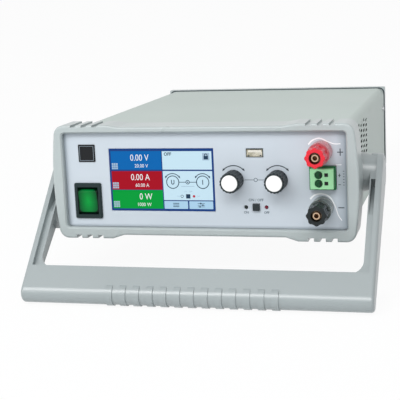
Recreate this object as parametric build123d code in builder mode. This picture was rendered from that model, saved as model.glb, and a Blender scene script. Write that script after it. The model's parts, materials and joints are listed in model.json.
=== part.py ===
"""Bench power supply on its folding handle, in millimetres.

Every piece is drawn in the unit's own square frame: X to the right, Y to the back from the front face
of the bezel, Z up from the bottom of the bezel's corner pads. When a piece is finished, it is tipped
back with the whole unit, which stands on the bar of its handle and on its two rear feet.
"""

import os
from math import asin, atan2, cos, degrees, hypot, pi, radians, sin

from build123d import *

# Clearances
fit_gap = 0.3
running_gap = 0.05

# Casing: a folded cover over a tray
cover_width = 254.8
cover_top = 97.0
case_bottom = 8.0
sheet = 1.2
cover_fold_radius = 8.0
unit_depth = 355.0
rear_plate_thickness = 1.5
rear_frame_depth = 9.0
rear_frame_overhang = 1.1
rear_frame_rise = 1.5
rear_frame_border = 7.0
tray_side_height = 24.0
flange_width = 5.0

# Front bezel: a moulded frame with bulged sides
bezel_side_wall = 10.6
bezel_side_bulge = 4.0
bezel_top_wall = 6.0
bezel_depth = 30.5
bezel_corner_radius = 9.0
bezel_lip_depth = 6.0
bezel_bottom_step = 3.5
bezel_top_step = 1.8
bezel_step_start = 73.5
bezel_step_end = 84.5
groove_width = 5.2
groove_pitch = 10.2
groove_first = 95.8
groove_count = 3

# Panel plate in the bezel
panel_side_gap = 0.2
panel_top_drop = 1.3
panel_foot_rise = 2.3
panel_thickness = 2.0
panel_corner_radius = 3.0

# Side vents
vent_length = 13.0
vent_height = 2.6
vent_end_cut = 0.9
vent_pitch_along = 20.4
vent_pitch_up = 5.1
vent_first_y = 77.0
vent_columns = 5
vent_rows = 13
vent_bottom_z = 24.0

# Rear feet
foot_width = 22.0
foot_length = 16.0
foot_inset_x = 22.0
foot_inset_y = 15.0

# Handle
pivot_y = 56.0
pivot_z = 51.5
arm_stand_off = 27.0
arm_reach = 133.4
stand_angle = 42.4
hub_radius = 19.0
hub_end_radius = 15.0
arm_end_radius = 17.0
nose_radius = 9.0
rim_width = 5.5
web_width = 5.5
web_drop = 4.0
web_thickness = 5.0
bar_depth = 22.4
pocket_to_web = 4.0
pocket_wall = 1.2
hub_gap = 0.5
web_corner_radius = 12.0
bail_edge_radius = 3.0
pocket_start = 16.0
pocket_end = 53.0
pocket_depth = 13.0
rib_count = 13
rib_pitch = 12.1
rib_width = 6.0
rib_height = 0.9
axle_radius = 6.0
axle_thread_radius = 2.4
axle_thread_length = 14.0
axle_head_radius = 9.0
hex_key_size = 5.0
hex_key_depth = 2.2
axle_head_thickness = 3.6
hub_cap_radius = 12.0
hub_cap_thickness = 3.0
bracket_width = 44.0
bracket_height = 68.0
bracket_thickness = 3.0

# Display
display_x = -37.4
display_z = 53.1
display_width = 96.0
display_height = 56.0
glass_thickness = 1.8
module_width = 105.5
module_height = 67.2
glass_set_back = 0.3
module_seat_depth = 0.6
board_gap = 6.8
board_thickness = 1.6
board_right = 80.0
board_height = 76.0
board_hole_radius = 1.7
board_hole_pitch = 68.0
board_hole_inset = 4.0

# Badge plate
badge_size = 15.8
badge_x = -106.4
badge_z = 77.1
badge_thickness = 0.8

# Power switch
switch_x = -107.2
switch_z = 33.9
switch_frame_width = 25.6
switch_frame_height = 32.4
switch_frame_proud = 2.2
switch_body_depth = 22.0
switch_body_inset_x = 1.5
switch_body_inset_z = 2.0
switch_tab_width = 0.8
switch_tab_height = 6.3
switch_tab_length = 9.0
switch_tab_pitch_x = 9.0
switch_tab_pitch_z = 11.0
rocker_width = 18.9
rocker_radius = 12.2
rocker_pivot_depth = 5.0
rocker_crown = 6.6
rocker_foot = 5.0
rocker_throw = 14.0
rocker_pin_radius = 1.5
rocker_pin_length = 1.0

# Knobs and their encoders
knob_z = 53.3
knob_x = {"voltage": 28.3, "current": 67.3}
knob_radius = 9.0
knob_length = 16.4
knob_press = 0.5
knob_flutes = 18
knob_flute_radius = 0.9
cap_radius = 7.1
cap_thickness = 1.6
cap_seat_depth = 1.0
shaft_radius = 3.0
shaft_length_in_knob = 12.0
bush_radius = 4.5
encoder_size = 12.4

# Socket for a memory stick
usb_x = 47.6
usb_z = 77.1
usb_width = 14.9
usb_height = 7.4
usb_wall = 0.5
usb_depth = 15.0
usb_proud = 0.4
usb_back_wall = 3.0
usb_tongue_width = 11.4
usb_tongue_thickness = 1.9
usb_tongue_rise = 1.4

# Output button and its lamps
button_x = 47.5
button_z = 29.1
button_size = 6.0
button_proud = 2.4
button_travel = 1.0
button_collar = 1.0
key_switch_size = 6.2
key_plunger_radius = 1.7
key_plunger_length = 1.5
lamp_spacing = 18.2
lamp_radius = 1.5
lamp_proud = 0.4

# Binding posts
post_x = 105.8
post_z = {"red": 78.1, "black": 29.7}
socket_radius = 2.0
stud_radius = 3.4
stud_recess = 1.2
stud_tail = 17.0
socket_depth = 26.0
collar_radius = 9.6
collar_length = 18.5
clamp_radius = 8.7
clamp_length = 18.0
clamp_lobes = 8
clamp_recess_radius = 4.8
clamp_travel = 4.0
clamp_recess_spare = 1.0
clamp_recess_depth = clamp_travel + clamp_recess_spare
insert_radius = 5.4
wire_hole_radius = 1.9
wire_hole_setback = 3.2
nut_flats = 11.0
nut_thickness = 4.0
bar_eye_radius = 7.5
bar_thickness = 2.0

# Sense connector
sense_x = 106.9
sense_z = 55.6
plug_width = 20.0
plug_height = 17.6
plug_proud = 9.0
plug_insertion = 8.0
header_wall = 1.0
header_proud = 4.0
header_back = 12.0
sense_pitch = 7.3
release_x = -2.7
release_radius = 3.2
release_proud = 0.6
release_length = 5.0
release_travel = 1.5
wire_entry_x = 3.9
wire_entry_size = 3.3
wire_entry_depth = 7.0

# Fans
fan_x = {"left": -86.0, "right": -22.0}
fan_z = 51.0
fan_size = 60.0
fan_thickness = 25.0
fan_bore_radius = 28.2
rotor_radius = 27.2
rotor_hub_radius = 13.0
rotor_blades = 7
blade_thickness = 1.4
blade_sweep = 38.0
fan_shaft_radius = 1.5
guard_ring_width = 2.0
guard_thickness = 1.5
guard_rings = 3
guard_ring_pitch = 8.6
guard_centre_radius = 6.0
fan_corner_radius = 4.0
fan_screw_inset = 5.0
fan_screw_radius = 2.1
fan_seat_thickness = 3.0
fan_seat_gap = 1.0
fan_arm_count = 3
fan_arm_width = 3.0
rotor_end_gap = 2.0
blade_width = 17.0

# Mains inlet
inlet_x = 92.0
inlet_z = 32.0
inlet_width = 27.4
inlet_height = 20.0
inlet_flange_width = 50.0
inlet_flange_height = 22.6
inlet_flange_thickness = 3.0
inlet_screw_pitch = 40.0
inlet_depth = 18.0
well_width = 24.0
well_height = 16.4
well_corner = 4.5
pin_pitch = 7.0
pin_offset = 2.0
pin_width = 2.0
pin_height = 4.0

# Control socket
dsub_x = 84.0
dsub_z = 74.0
dsub_width = 25.0
dsub_height = 8.4
dsub_side_angle = 80.0
dsub_shell_wall = 0.6
dsub_proud = 6.0
dsub_length = 14.0
dsub_flange_width = 39.2
dsub_flange_height = 12.6
dsub_flange_thickness = 1.0
dsub_post_pitch = 33.3
dsub_post_flats = 4.8
dsub_post_bore = 1.3

# Data socket
usb_b_x = 34.0
usb_b_z = 74.0
usb_b_width = 12.0
usb_b_height = 10.8
usb_b_wall = 1.0
usb_b_corner = 2.0
usb_b_proud = 1.0
usb_b_depth = 16.0
usb_b_well_depth = 9.0
usb_b_tongue_width = 5.6
usb_b_tongue_height = 3.2

# Boards and parts inside
main_board_z = 16.0
main_board_half_width = 118.0
main_board_front = 44.0
main_board_back = 308.0
pillar_flats = 6.4
pillar_inset = 6.0
heatsink_places = (-72.0, 38.0)
heatsink_front = 140.0
heatsink_length = 150.0
heatsink_height = 52.0
heatsink_fins = 7
heatsink_fin_thickness = 1.6
heatsink_width = 34.0
heatsink_base = 4.0
transformer_x = -18.0
transformer_y = 215.0
core_width = 44.0
core_height = 34.0
core_depth = 20.0
core_yoke = 6.0
core_post_width = 16.0
core_window_width = 12.0
winding_side = 38.0
winding_length = 42.0
winding_corner = 8.0
choke_x = 92.0
choke_y = 215.0
choke_radius = 19.0
choke_bore = 8.0
choke_height = 20.0
choke_edge = 3.0
capacitor_x = 92.0
capacitor_y = 120.0
capacitor_count = 4
capacitor_pitch = 32.0
capacitor_radius = 12.5
capacitor_height = 42.0

# Screws that hold the cover and the rear frame
cover_screw_radius = 2.8
cover_screw_height = 1.4
cover_screw_inset_y = 24.0
cover_screw_rise = 10.0
cover_screw_drop = 22.0
frame_screw_radius = 2.4
frame_screw_height = 1.2

# Places that follow from the sizes above
half_cover = cover_width / 2
half_bezel = half_cover + bezel_side_wall
half_bezel_end = half_bezel - bezel_side_bulge
bezel_height = cover_top + bezel_top_wall
inner_half_width = half_cover - sheet - fit_gap
panel_front = bezel_lip_depth
panel_back = panel_front + panel_thickness
panel_bottom = case_bottom + panel_foot_rise
panel_top = cover_top - panel_top_drop
panel_mid_z = (panel_bottom + panel_top) / 2
passage_half_width = half_cover + fit_gap
panel_width = 2 * (passage_half_width - panel_side_gap)
flange_front = panel_back + fit_gap
board_front = panel_back + board_gap
cover_front = flange_front + sheet + fit_gap
frame_front = unit_depth - rear_frame_depth
rear_plate_back = frame_front - fit_gap
switch_body_width = switch_frame_width - 2 * switch_body_inset_x
switch_body_height = switch_frame_height - 2 * switch_body_inset_z
rear_plate_front = rear_plate_back - rear_plate_thickness
rear_frame_width = cover_width + 2 * rear_frame_overhang
rear_frame_top = cover_top + rear_frame_rise
fan_back = rear_plate_front - fit_gap
fan_front = fan_back - fan_thickness
arm_outer = half_cover + arm_stand_off
rim_inner = arm_outer - rim_width
arm_inner = rim_inner - web_width
nose_y = pivot_y - arm_reach * cos(radians(stand_angle))
nose_z = pivot_z - arm_reach * sin(radians(stand_angle))
rib_radius = nose_radius + rib_height
foot_back = unit_depth - foot_inset_y
usb_front = panel_front - usb_proud
knob_back = panel_front - knob_press - fit_gap
knob_front = knob_back - knob_length
collar_front = panel_front - collar_length
clamp_front = collar_front - clamp_length - fit_gap
plug_front = panel_front - plug_proud
encoder_front = panel_back + fit_gap

# How the unit stands: the table touches the back edge of the feet and the ribs under the bar
reach_y = foot_back - nose_y
table_slope = degrees(atan2(-nose_z, reach_y) + asin(rib_radius / hypot(reach_y, nose_z)))
standing_front = nose_y * cos(radians(table_slope)) + nose_z * sin(radians(table_slope)) - rib_radius
standing_back = unit_depth * cos(radians(table_slope)) + rear_frame_top * sin(radians(table_slope))
tipped = Location((0, 0, 0), (-table_slope, 0, 0))
foot_edge_z = -foot_back * sin(radians(table_slope))
standing = Location((0, -(standing_front + standing_back) / 2, -foot_edge_z)) * tipped


def upright(y):
    """A plane across the unit at depth y, which looks to the front."""
    return Plane.XZ.offset(-y)


def side(x):
    """A plane along the unit at width x, which looks to the right."""
    return Plane.YZ.offset(x)


def finish(piece, name):
    """Names a finished piece, stands it on the table with the unit and writes its file."""
    piece.part.label = name
    piece.part.move(standing)
    export_step(piece.part, f"parts/{name}.step")


os.makedirs("parts", exist_ok=True)


# Front bezel
with BuildPart() as front_bezel:
    with BuildSketch(upright(0)) as bezel_outline:
        with BuildLine():
            bottom_right = (half_bezel_end, 0)
            top_right = (half_bezel_end, bezel_height)
            raised_bottom = bezel_bottom_step
            lowered_top = bezel_height - bezel_top_step
            Polyline(
                (-half_bezel_end, 0),
                (-bezel_step_end, 0),
                (-bezel_step_start, raised_bottom),
                (bezel_step_start, raised_bottom),
                (bezel_step_end, 0),
                bottom_right,
            )
            ThreePointArc(bottom_right, (half_bezel, bezel_height / 2), top_right)
            Polyline(
                top_right,
                (bezel_step_end, bezel_height),
                (bezel_step_start, lowered_top),
                (-bezel_step_start, lowered_top),
                (-bezel_step_end, bezel_height),
                (-half_bezel_end, bezel_height),
            )
            ThreePointArc(
                (-half_bezel_end, bezel_height), (-half_bezel, bezel_height / 2), (-half_bezel_end, 0)
            )
        make_face()
        outer_corners = bezel_outline.vertices().group_by(Axis.X)
        fillet(outer_corners[0] + outer_corners[-1], bezel_corner_radius)
    extrude(amount=-bezel_depth)
    fillet(front_bezel.faces().sort_by(Axis.Y)[0].edges(), 2.0)
    with BuildSketch(upright(0)):
        with Locations((0, panel_mid_z)):
            RectangleRounded(
                2 * passage_half_width, panel_top - panel_bottom + 2 * fit_gap, panel_corner_radius
            )
    extrude(amount=-bezel_depth, mode=Mode.SUBTRACT)
    passage_rim = front_bezel.faces().sort_by(Axis.Y)[0].inner_wires()[0].edges()
    chamfer(passage_rim, 1.2)
    with BuildSketch(upright(panel_back)):
        with Locations((0, (case_bottom + cover_top) / 2)):
            Rectangle(2 * passage_half_width, cover_top - case_bottom + 2 * fit_gap)
    extrude(amount=-(bezel_depth - panel_back), mode=Mode.SUBTRACT)
    with BuildSketch(upright(0)):
        for index in range(groove_count):
            groove_x = groove_first + index * groove_pitch
            with Locations((groove_x, 0), (-groove_x, 0)):
                Rectangle(groove_width, 2 * bezel_bottom_step)
            with Locations((groove_x, bezel_height), (-groove_x, bezel_height)):
                Rectangle(groove_width, 2 * bezel_top_step)
    extrude(amount=-bezel_depth, mode=Mode.SUBTRACT)
finish(front_bezel, "front_bezel")


# Panel plate with every cut-out
with BuildPart() as front_panel:
    with BuildSketch(upright(panel_front)):
        with Locations((0, panel_mid_z)):
            RectangleRounded(panel_width, panel_top - panel_bottom, panel_corner_radius)
        with Locations((display_x, display_z)):
            Rectangle(display_width + 2 * fit_gap, display_height + 2 * fit_gap, mode=Mode.SUBTRACT)
        with Locations((switch_x, switch_z)):
            Rectangle(
                switch_body_width + 2 * fit_gap, switch_body_height + 2 * fit_gap, mode=Mode.SUBTRACT
            )
        with Locations(*[(x, knob_z) for x in knob_x.values()]):
            Circle(bush_radius + fit_gap, mode=Mode.SUBTRACT)
        with Locations((usb_x, usb_z)):
            Rectangle(usb_width + 2 * fit_gap, usb_height + 2 * fit_gap, mode=Mode.SUBTRACT)
        with Locations((button_x, button_z)):
            Rectangle(button_size + 2 * fit_gap, button_size + 2 * fit_gap, mode=Mode.SUBTRACT)
            with GridLocations(lamp_spacing, 0, 2, 1):
                Circle(lamp_radius + fit_gap, mode=Mode.SUBTRACT)
        with Locations(*[(post_x, z) for z in post_z.values()]):
            Circle(stud_radius + fit_gap, mode=Mode.SUBTRACT)
        with Locations((sense_x, sense_z)):
            Rectangle(
                plug_width + 2 * (header_wall + 2 * fit_gap),
                plug_height + 2 * (header_wall + 2 * fit_gap),
                mode=Mode.SUBTRACT,
            )
    extrude(amount=-panel_thickness)
finish(front_panel, "front_panel")


# Bare badge plate on the panel
with BuildPart() as badge_plate:
    with BuildSketch(upright(panel_front)):
        with Locations((badge_x, badge_z)):
            RectangleRounded(badge_size, badge_size, 0.8)
    extrude(amount=badge_thickness)
    chamfer(badge_plate.faces().sort_by(Axis.Y)[0].edges(), 0.3)
finish(badge_plate, "badge_plate")


# Touch glass, display module and the board that carries the controls
with BuildPart() as display_glass:
    with BuildSketch(upright(panel_front - glass_set_back)):
        with Locations((display_x, display_z)):
            RectangleRounded(display_width, display_height, 0.6)
    extrude(amount=-glass_thickness)
finish(display_glass, "display_glass")

with BuildPart() as display_module:
    with BuildSketch(upright(panel_back)):
        with Locations((display_x, display_z)):
            Rectangle(module_width, module_height)
    extrude(amount=-(board_gap - fit_gap))
    fillet(display_module.edges().filter_by(Axis.Y), 1.0)
    with BuildSketch(upright(panel_back)):
        with Locations((display_x, display_z)):
            Rectangle(display_width, display_height)
    extrude(amount=-module_seat_depth, mode=Mode.SUBTRACT)
finish(display_module, "display_module")

board_left = display_x - module_width / 2
with BuildPart() as control_board:
    with BuildSketch(upright(board_front)):
        with Locations(((board_left + board_right) / 2, panel_mid_z)):
            Rectangle(board_right - board_left, board_height)
        with Locations((usb_x, usb_z)):
            Rectangle(usb_width + 4 * fit_gap, usb_height + 4 * fit_gap, mode=Mode.SUBTRACT)
        with Locations((display_x, panel_mid_z)):
            with GridLocations(module_width - 2 * board_hole_inset, board_hole_pitch, 2, 2):
                Circle(board_hole_radius, mode=Mode.SUBTRACT)
    extrude(amount=-board_thickness)
finish(control_board, "control_board")


# Power switch: frame with snap-in body, and the rocker on its pins
with BuildPart() as switch_frame:
    with BuildSketch(upright(panel_front)):
        with Locations((switch_x, switch_z)):
            RectangleRounded(switch_frame_width, switch_frame_height, 1.5)
    extrude(amount=switch_frame_proud)
    chamfer(switch_frame.faces().sort_by(Axis.Y)[0].edges(), 1.0)
    with BuildSketch(upright(panel_front)):
        with Locations((switch_x, switch_z)):
            Rectangle(switch_body_width, switch_body_height)
    extrude(amount=-switch_body_depth)
    with BuildSketch(upright(panel_front - switch_frame_proud)):
        with Locations((switch_x, switch_z)):
            Rectangle(rocker_width + 2 * fit_gap, 2 * (rocker_radius + fit_gap))
    extrude(amount=-(switch_frame_proud + switch_body_depth - 3), mode=Mode.SUBTRACT)
    with BuildSketch(side(switch_x)):
        with Locations((panel_front + rocker_pivot_depth, switch_z)):
            Circle(rocker_pin_radius + running_gap)
    extrude(amount=rocker_width / 2 + rocker_pin_length + fit_gap, both=True, mode=Mode.SUBTRACT)
    with BuildSketch(upright(panel_front + switch_body_depth)):
        with Locations((switch_x, switch_z)):
            with GridLocations(switch_tab_pitch_x, switch_tab_pitch_z, 2, 2):
                Rectangle(switch_tab_width, switch_tab_height)
    extrude(amount=-switch_tab_length)
finish(switch_frame, "switch_frame")

rocker_pivot = (panel_front + rocker_pivot_depth, switch_z)
rocker_rest_tilt = rocker_throw / 2
with BuildPart() as power_rocker:
    with BuildSketch(side(switch_x)):
        with Locations(Location(rocker_pivot, rocker_rest_tilt)):
            Circle(rocker_radius)
            crown_drop = rocker_radius * sin(radians(rocker_throw / 2))
            Polygon(
                (-rocker_crown, 0),
                (-rocker_crown - crown_drop, rocker_radius + 1),
                (rocker_foot, rocker_radius + 1),
                (rocker_foot, -rocker_radius - 1),
                (-rocker_crown - crown_drop, -rocker_radius - 1),
                align=None,
                mode=Mode.INTERSECT,
            )
    extrude(amount=rocker_width / 2, both=True)
    fillet(power_rocker.faces().group_by(Axis.Y)[0].edges().filter_by(Axis.X), 0.6)
    with BuildSketch(side(switch_x)):
        with Locations(rocker_pivot):
            Circle(rocker_pin_radius)
    extrude(amount=rocker_width / 2 + rocker_pin_length, both=True)
finish(power_rocker, "power_rocker")


def build_knob(which):
    """One control knob: the encoder behind the panel, its shaft, the fluted knob and its cap."""
    centre = (knob_x[which], knob_z)
    with BuildPart() as encoder:
        with BuildSketch(upright(encoder_front)):
            with Locations(centre):
                Rectangle(encoder_size, encoder_size)
        extrude(amount=-(board_gap - 2 * fit_gap))
        with BuildSketch(upright(encoder_front)):
            with Locations(centre):
                Circle(bush_radius)
        extrude(amount=encoder_front - panel_front)
        with BuildSketch(upright(encoder_front)):
            with Locations(centre):
                Circle(shaft_radius + running_gap)
        extrude(amount=encoder_front, both=True, mode=Mode.SUBTRACT)
    finish(encoder, f"{which}_encoder")

    with BuildPart() as shaft:
        with BuildSketch(upright(knob_back - shaft_length_in_knob)):
            with Locations(centre):
                Circle(shaft_radius)
        extrude(amount=-(shaft_length_in_knob + encoder_front + board_gap - 3 * fit_gap - knob_press - knob_back))
        chamfer(shaft.faces().sort_by(Axis.Y)[0].edges(), 0.5)
    finish(shaft, f"{which}_shaft")

    with BuildPart() as knob:
        with BuildSketch(upright(knob_back)):
            with Locations(centre):
                Circle(knob_radius)
        extrude(amount=knob_length)
        chamfer(knob.faces().sort_by(Axis.Y)[0].edges(), 0.8)
        with BuildSketch(upright(knob_back - 1.5)):
            with Locations(centre):
                with PolarLocations(knob_radius + 0.25, knob_flutes):
                    Circle(knob_flute_radius)
        extrude(amount=knob_length, mode=Mode.SUBTRACT)
        with BuildSketch(upright(knob_back)):
            with Locations(centre):
                Circle(shaft_radius + running_gap)
        extrude(amount=shaft_length_in_knob + fit_gap, mode=Mode.SUBTRACT)
        with BuildSketch(upright(knob_front)):
            with Locations(centre):
                Circle(cap_radius)
        extrude(amount=-cap_seat_depth, mode=Mode.SUBTRACT)
    finish(knob, f"{which}_knob")

    with BuildPart() as cap:
        with BuildSketch(upright(knob_front + cap_seat_depth)):
            with Locations(centre):
                Circle(cap_radius - running_gap)
        extrude(amount=cap_thickness)
        fillet(cap.faces().sort_by(Axis.Y)[0].edges(), 0.5)
    finish(cap, f"{which}_knob_cap")


for which in knob_x:
    build_knob(which)


# Memory stick socket: a folded metal shell with its contact tongue
with BuildPart() as usb_socket:
    with BuildSketch(upright(usb_front)):
        with Locations((usb_x, usb_z)):
            RectangleRounded(usb_width, usb_height, 0.6)
    extrude(amount=-usb_depth)
    with BuildSketch(upright(usb_front)):
        with Locations((usb_x, usb_z)):
            Rectangle(usb_width - 2 * usb_wall, usb_height - 2 * usb_wall)
    extrude(amount=-(usb_depth - usb_back_wall), mode=Mode.SUBTRACT)
    with BuildSketch(upright(usb_front + 2 * usb_wall)):
        with Locations((usb_x, usb_z + usb_tongue_rise)):
            Rectangle(usb_tongue_width, usb_tongue_thickness)
    extrude(amount=-(usb_depth - 4 * usb_wall))
finish(usb_socket, "usb_socket")


# Output button, the switch it presses and the two lamps beside it
button_back = panel_back + button_collar
switch_face = button_back + button_travel + fit_gap
with BuildPart() as output_button:
    with BuildSketch(upright(panel_front - button_proud)):
        with Locations((button_x, button_z)):
            RectangleRounded(button_size, button_size, 0.6)
    extrude(amount=-(button_back - panel_front + button_proud))
    fillet(output_button.faces().sort_by(Axis.Y)[0].edges(), 0.5)
    with BuildSketch(upright(button_back)):
        with Locations((button_x, button_z)):
            Rectangle(button_size + 2 * button_collar, button_size + 2 * button_collar)
    extrude(amount=button_collar - fit_gap)
finish(output_button, "output_button")

with BuildPart() as button_switch:
    with BuildSketch(upright(board_front)):
        with Locations((button_x, button_z)):
            Rectangle(key_switch_size, key_switch_size)
    extrude(amount=board_front - switch_face - button_travel - fit_gap)
    with BuildSketch(upright(switch_face)):
        with Locations((button_x, button_z)):
            Circle(key_plunger_radius)
    extrude(amount=-key_plunger_length)
finish(button_switch, "button_switch")

with BuildPart() as status_lamps:
    with BuildSketch(upright(panel_front - lamp_proud)):
        with Locations((button_x, button_z)):
            with GridLocations(lamp_spacing, 0, 2, 1):
                Circle(lamp_radius)
    extrude(amount=-(board_front - panel_front + lamp_proud))
    chamfer(status_lamps.faces().group_by(Axis.Y)[0].edges(), lamp_proud)
finish(status_lamps, "status_lamps")


def build_post(colour):
    """One 4 mm binding post: socket stud, insulating collar, and clamp knob with its insert."""
    centre = (post_x, post_z[colour])
    hole_y = collar_front + wire_hole_setback
    stud_front = clamp_front + stud_recess
    with BuildPart() as stud:
        with BuildSketch(upright(stud_front)):
            with Locations(centre):
                Circle(stud_radius)
        extrude(amount=-(panel_back + stud_tail - stud_front))
        chamfer(stud.faces().sort_by(Axis.Y)[0].edges(), 0.4)
        with BuildSketch(upright(stud_front)):
            with Locations(centre):
                Circle(socket_radius)
        extrude(amount=-socket_depth, mode=Mode.SUBTRACT)
    finish(stud, f"{colour}_post_stud")

    with BuildPart() as collar:
        with BuildSketch(upright(panel_front)):
            with Locations(centre):
                Circle(collar_radius)
        extrude(amount=collar_length)
        chamfer(collar.faces().sort_by(Axis.Y)[0].edges(), 0.8)
        with BuildSketch(upright(panel_front)):
            with Locations(centre):
                Circle(stud_radius + running_gap)
        extrude(amount=collar_length, mode=Mode.SUBTRACT)
        with BuildSketch(Plane.XY.offset(post_z[colour])):
            with Locations((post_x, hole_y)):
                Circle(wire_hole_radius)
        extrude(amount=collar_radius + 1, both=True, mode=Mode.SUBTRACT)
    finish(collar, f"{colour}_post_collar")

    with BuildPart() as insert:
        with BuildSketch(upright(collar_front - fit_gap)):
            with Locations(centre):
                Circle(insert_radius)
                Circle(stud_radius + running_gap, mode=Mode.SUBTRACT)
        extrude(amount=clamp_length - clamp_recess_depth - fit_gap)
    finish(insert, f"{colour}_post_insert")

    with BuildPart() as clamp:
        with BuildSketch(upright(collar_front - fit_gap)):
            with Locations(centre):
                Circle(clamp_radius - 0.9)
                with PolarLocations(clamp_radius - 2.4, clamp_lobes):
                    Circle(2.4)
        extrude(amount=clamp_length)
        chamfer(clamp.faces().sort_by(Axis.Y)[0].edges(), 0.5)
        with BuildSketch(upright(collar_front - fit_gap)):
            with Locations(centre):
                Circle(clamp_recess_radius)
        extrude(amount=clamp_length, mode=Mode.SUBTRACT)
        with BuildSketch(upright(collar_front - fit_gap)):
            with Locations(centre):
                Circle(insert_radius + running_gap)
        extrude(amount=clamp_length - clamp_recess_depth, mode=Mode.SUBTRACT)
    finish(clamp, f"{colour}_post_clamp")


for colour in post_z:
    build_post(colour)

with BuildPart() as post_nuts:
    with BuildSketch(upright(panel_back)):
        with Locations(*[(post_x, z) for z in post_z.values()]):
            RegularPolygon(nut_flats / 2, 6, major_radius=False)
            Circle(stud_radius + running_gap, mode=Mode.SUBTRACT)
    extrude(amount=-nut_thickness)
finish(post_nuts, "post_nuts")


# Sense connector: header in the panel, plug and its two release buttons
with BuildPart() as sense_header:
    with BuildSketch(upright(panel_front - header_proud)):
        with Locations((sense_x, sense_z)):
            Rectangle(plug_width + 2 * (header_wall + fit_gap), plug_height + 2 * (header_wall + fit_gap))
    extrude(amount=-(header_proud + header_back))
    with BuildSketch(upright(panel_front - header_proud)):
        with Locations((sense_x, sense_z)):
            Rectangle(plug_width + 2 * fit_gap, plug_height + 2 * fit_gap)
    extrude(amount=-(header_proud + plug_insertion), mode=Mode.SUBTRACT)
finish(sense_header, "sense_header")

with BuildPart() as sense_plug:
    with BuildSketch(upright(plug_front)):
        with Locations((sense_x, sense_z)):
            RectangleRounded(plug_width, plug_height, 0.5)
    extrude(amount=-(plug_proud + plug_insertion))
    chamfer(sense_plug.faces().sort_by(Axis.Y)[0].edges(), 0.4)
    with BuildSketch(upright(plug_front)):
        with Locations((sense_x + release_x, sense_z)):
            with GridLocations(0, sense_pitch, 1, 2):
                Circle(release_radius + fit_gap)
    extrude(amount=-(release_length - release_proud + release_travel + fit_gap), mode=Mode.SUBTRACT)
    with BuildSketch(upright(plug_front)):
        with Locations((sense_x + wire_entry_x, sense_z)):
            with GridLocations(0, sense_pitch, 1, 2):
                Rectangle(wire_entry_size, wire_entry_size)
    extrude(amount=-wire_entry_depth, mode=Mode.SUBTRACT)
finish(sense_plug, "sense_plug")

for place, sign in (("upper", 1), ("lower", -1)):
    with BuildPart() as sense_release:
        with BuildSketch(upright(plug_front - release_proud)):
            with Locations((sense_x + release_x, sense_z + sign * sense_pitch / 2)):
                Circle(release_radius)
        extrude(amount=-release_length)
        fillet(sense_release.faces().sort_by(Axis.Y)[0].edges(), 0.4)
    finish(sense_release, f"sense_release_{place}")


# Handle: two tapered arms with a rim and a recessed web, and a bar with a ribbed nose
bail_plane = Plane(
    origin=(0, pivot_y, pivot_z),
    x_dir=(1, 0, 0),
    z_dir=(0, -sin(radians(stand_angle)), cos(radians(stand_angle))),
)
bar_start = arm_reach - bar_depth
taper_angle = degrees(asin((arm_end_radius - nose_radius) / arm_reach))
face_slope = Plane(bail_plane.origin, x_dir=(1, 0, 0), z_dir=bail_plane.z_dir).rotated((taper_angle, 0, 0))
# In slope_side, X runs from the pivot to the bar and Y up from the middle of the arm
slope_side = Plane(bail_plane.origin, x_dir=-face_slope.y_dir, z_dir=(-1, 0, 0))
web_top = arm_end_radius - web_drop
far = 2 * arm_reach


with BuildPart() as handle:
    with BuildSketch(side(0)):
        with Locations((pivot_y, pivot_z)):
            Circle(arm_end_radius)
        with Locations((nose_y, nose_z)):
            Circle(nose_radius)
        make_hull()
    extrude(amount=arm_outer, both=True)
    outer_faces = handle.faces().filter_by(Axis.X).sort_by(Axis.X)
    fillet(outer_faces[0].edges() + outer_faces[-1].edges(), bail_edge_radius)
    # bail_plane's Y runs from the bar to the pivot, so the bar lies at negative Y
    with BuildSketch(bail_plane) as window:
        with BuildLine():
            Polyline((-arm_inner, far), (-arm_inner, -bar_start), (arm_inner, -bar_start), (arm_inner, far), close=True)
        make_face()
        fillet(window.vertices().group_by(Axis.Y)[0], web_corner_radius)
    extrude(amount=far, both=True, mode=Mode.SUBTRACT)
    with BuildSketch(face_slope.offset(web_top)):
        with Locations((0, far / 2 - bar_start)):
            Rectangle(2 * rim_inner, far)
    extrude(amount=far, mode=Mode.SUBTRACT)
    with BuildSketch(face_slope.offset(web_top - web_thickness)):
        with Locations((0, -(pocket_end + pocket_to_web + bar_start) / 2)):
            Rectangle(2 * rim_inner, bar_start - pocket_end - pocket_to_web)
    extrude(amount=-far, mode=Mode.SUBTRACT)
    # A pocket in each arm, deepest beside the hub
    pocket_floor = web_top - pocket_depth
    for sign in (-1, 1):
        with BuildSketch(slope_side.offset(-sign * (arm_inner + pocket_wall))):
            with BuildLine():
                Polyline((pocket_start, web_top), (pocket_start, pocket_floor), (pocket_end, web_top), close=True)
            make_face()
        extrude(amount=-sign * (web_width - pocket_wall), mode=Mode.SUBTRACT)
    # Ribs round the nose
    for index in range(rib_count):
        rib_x = (index - (rib_count - 1) / 2) * rib_pitch
        with BuildSketch(side(rib_x)):
            with Locations((nose_y, nose_z)):
                Circle(rib_radius)
        extrude(amount=rib_width / 2, both=True)
    # Hubs with their bores
    for sign in (-1, 1):
        with BuildSketch(side(sign * (half_cover + hub_gap))):
            with Locations((pivot_y, pivot_z)):
                Circle(hub_radius)
        with BuildSketch(side(sign * rim_inner)):
            with Locations((pivot_y, pivot_z)):
                Circle(hub_end_radius)
        loft()
        with BuildSketch(side(sign * half_cover)):
            with Locations((pivot_y, pivot_z)):
                Circle(axle_radius + running_gap)
        extrude(amount=sign * (arm_outer - half_cover), mode=Mode.SUBTRACT)
        head_seat = arm_outer - hub_cap_thickness - axle_head_thickness - 2 * fit_gap
        with BuildSketch(side(sign * head_seat)):
            with Locations((pivot_y, pivot_z)):
                Circle(hub_cap_radius)
        extrude(amount=sign * (arm_outer - head_seat), mode=Mode.SUBTRACT)
finish(handle, "handle")


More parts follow.
